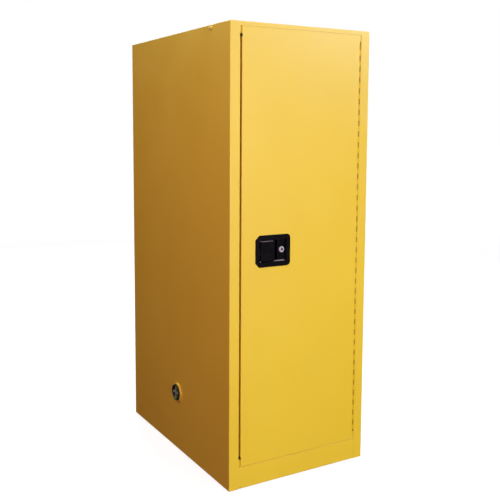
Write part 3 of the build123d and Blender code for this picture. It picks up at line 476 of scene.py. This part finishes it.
inner_low, inner_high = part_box("door_inner_pan")
stiffener_low, stiffener_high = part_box("door_stiffener")
stiffener_x = middle((stiffener_low[0], stiffener_high[0]))
door_spots = bmesh.new()
for row in range(DOOR_SPOTS):
    z = inner_low[2] + DOOR_SPOT_START + row * DOOR_SPOT_PITCH
    add_dimple(door_spots, (stiffener_x, inner_high[1], z), (0, 1, 0), SPOT_RADIUS, SPOT_HEIGHT)
new_piece("door_spot_welds", door_spots, YELLOW, "door")

beads = bmesh.new()
inner_x = (pan_low[0] + SHEET + BEAD_INSET, pan_high[0] - SHEET - BEAD_INSET)
inner_y = (pan_low[1] + SHEET + BEAD_INSET, pan_high[1] - SHEET - BEAD_INSET)
floor_z, rim_z = pan_low[2] + 0.003, pan_high[2] - 0.0015
for x in inner_x:
    for y in inner_y:
        weld_bead(beads, (x, y, floor_z), (x, y, rim_z), BEAD_RADIUS, dice)
new_piece("sump_weld_beads", beads, YELLOW, "cabinet")


def plug_thread(side):
    """The screw thread round a vent plug's tube."""
    plug_low, plug_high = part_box(f"{side}_vent_plug")
    axis_y = middle((plug_low[1], plug_high[1]))
    axis_z = middle((plug_low[2], plug_high[2]))
    outward = -1.0 if side == "left" else 1.0
    inner_end = plug_high[0] if side == "left" else plug_low[0]
    points = []
    for k in range(THREAD_TURNS * THREAD_STEPS + 1):
        angle = math.tau * k / THREAD_STEPS
        points.append(Vector((
            inner_end + outward * (THREAD_START + THREAD_PITCH * k / THREAD_STEPS),
            axis_y + THREAD_RADIUS * math.cos(angle),
            axis_z + THREAD_RADIUS * math.sin(angle),
        )))
    radii = [THREAD_HEIGHT] * len(points)
    radii[0] = radii[-1] = THREAD_HEIGHT * 0.3
    thread = bmesh.new()
    add_tube(thread, points, radii, THREAD_SIDES)
    new_piece(f"{side}_plug_thread", thread, CAST, f"{side}_vent_plug")


plug_thread("left")
plug_thread("right")


# ---------------------------------------------------------------- floor, light and camera

FLOOR_NEAR = 1.6
FLOOR_FAR = 7.0


def pale_floor(size):
    """A pale studio floor that takes soft shadows near the object and fades into the white room."""
    mesh = bpy.data.meshes.new("floor")
    build = bmesh.new()
    bmesh.ops.create_grid(build, x_segments=1, y_segments=1, size=size / 2)
    build.to_mesh(mesh)
    build.free()
    plane = bpy.data.objects.new("floor", mesh)
    bpy.context.scene.collection.objects.link(plane)
    material, tree, shader, place = new_material("floor")
    distance = tree.nodes.new("ShaderNodeVectorMath")
    distance.operation = "LENGTH"
    socket(tree, distance.inputs[0], place)
    far = spread(tree, distance.outputs["Value"], 0.0, 1.0, FLOOR_NEAR, FLOOR_FAR)
    near_tone = (0.30, 0.30, 0.30, 1.0)
    glow = blend(tree, far, (0.82, 0.82, 0.82, 1.0), (1.03, 1.03, 1.03, 1.0))
    socket(tree, shader.inputs["Base Color"], blend(tree, far, near_tone, (0.0, 0.0, 0.0, 1.0)))
    socket(tree, shader.inputs["Emission Color"], glow)
    shader.inputs["Emission Strength"].default_value = 1.0
    shader.inputs["Roughness"].default_value = 1.0
    shader.inputs["Specular IOR Level"].default_value = 0.0
    mesh.materials.append(material)
    plane.visible_diffuse = False
    plane.visible_glossy = False
    return plane


pale_floor(80.0)


def soft_light(name, place, target, size, power, colour=(1.0, 1.0, 1.0)):
    data = bpy.data.lights.new(name, "AREA")
    data.shape = "RECTANGLE"
    data.size, data.size_y = size
    data.energy = power
    data.color = colour
    light = bpy.data.objects.new(name, data)
    bpy.context.scene.collection.objects.link(light)
    aim = Vector(target) - Vector(place)
    turn = aim.to_track_quat("-Z", "Y").to_matrix().to_4x4()
    light.matrix_world = Matrix.Translation(place) @ turn
    return light


def sheen_light(name, place, target, size, power, colour):
    """A light that is only seen as a reflection in the paint."""
    light = soft_light(name, place, target, size, power, colour)
    light.visible_diffuse = False
    light.visible_camera = False


BODY_MIDDLE = (0.0, 0.0, 0.9)
soft_light("key", (0.3, -4.8, 1.0), (0.0, -0.4, 0.8), (2.4, 2.0), 137.0)
soft_light("front_fill", (-0.8, -5.2, 1.2), BODY_MIDDLE, (3.0, 2.4), 39.0)
soft_light("wash", (3.3, -3.7, 2.75), (0.2, -0.4, 1.5), (1.8, 1.2), 52.0)
soft_light("side_fill", (-3.0, -1.2, 3.4), (-0.3, -0.2, 1.2), (1.3, 1.3), 66.0, (1.0, 0.84, 0.80))
soft_light("warm_side", (-3.9, -1.5, 1.2), (-0.3, -0.1, 0.7), (2.0, 1.8), 27.0, (1.0, 0.30, 1.7))
sheen_light("side_sheen", (-2.1, 2.6, 3.7), (-0.3, -0.35, 1.65), (1.0, 0.8), 330.0, (0.6, 1.0, 0.36))
sheen_light("front_sheen", (3.3, -3.3, 3.2), (0.3, -0.43, 1.65), (0.7, 0.6), 170.0, (0.5, 0.75, 1.0))
soft_light("top", (0.5, 0.7, 4.6), (0.0, 0.0, 1.6), (3.0, 3.0), 100.0)
soft_light("right_fill", (4.2, 0.8, 2.2), BODY_MIDDLE, (2.2, 2.2), 110.0)
soft_light("back_fill", (1.2, 4.6, 2.4), BODY_MIDDLE, (2.6, 2.2), 130.0)

world = bpy.data.worlds.new("studio")
world.use_nodes = True
world.node_tree.nodes["Background"].inputs["Color"].default_value = (1.0, 1.0, 1.0, 1.0)
world.node_tree.nodes["Background"].inputs["Strength"].default_value = 1.0
world.cycles_visibility.diffuse = False
world.cycles_visibility.glossy = False
bpy.context.scene.world = world
bpy.context.scene.view_settings.view_transform = "Standard"

CAMERA_PLACE = (-1.545, -2.602, 1.283)
CAMERA_HEADING = math.radians(29.28)
CAMERA_PITCH = math.radians(-5.79)
CAMERA_ROLL = math.radians(0.11)
camera_data = bpy.data.cameras.new("camera")
camera_data.sensor_width = 36.0
camera_data.lens = 52.98
camera_data.shift_x = 0.0542
camera_data.shift_y = -0.0902
camera_data.clip_end = 100.0
camera_data.dof.use_dof = False
camera = bpy.data.objects.new("camera", camera_data)
bpy.context.scene.collection.objects.link(camera)
camera.matrix_world = (
    Matrix.Translation(CAMERA_PLACE)
    @ Matrix.Rotation(-CAMERA_HEADING, 4, "Z")
    @ Matrix.Rotation(math.pi / 2 + CAMERA_PITCH, 4, "X")
    @ Matrix.Rotation(CAMERA_ROLL, 4, "Z")
)
bpy.context.scene.camera = camera
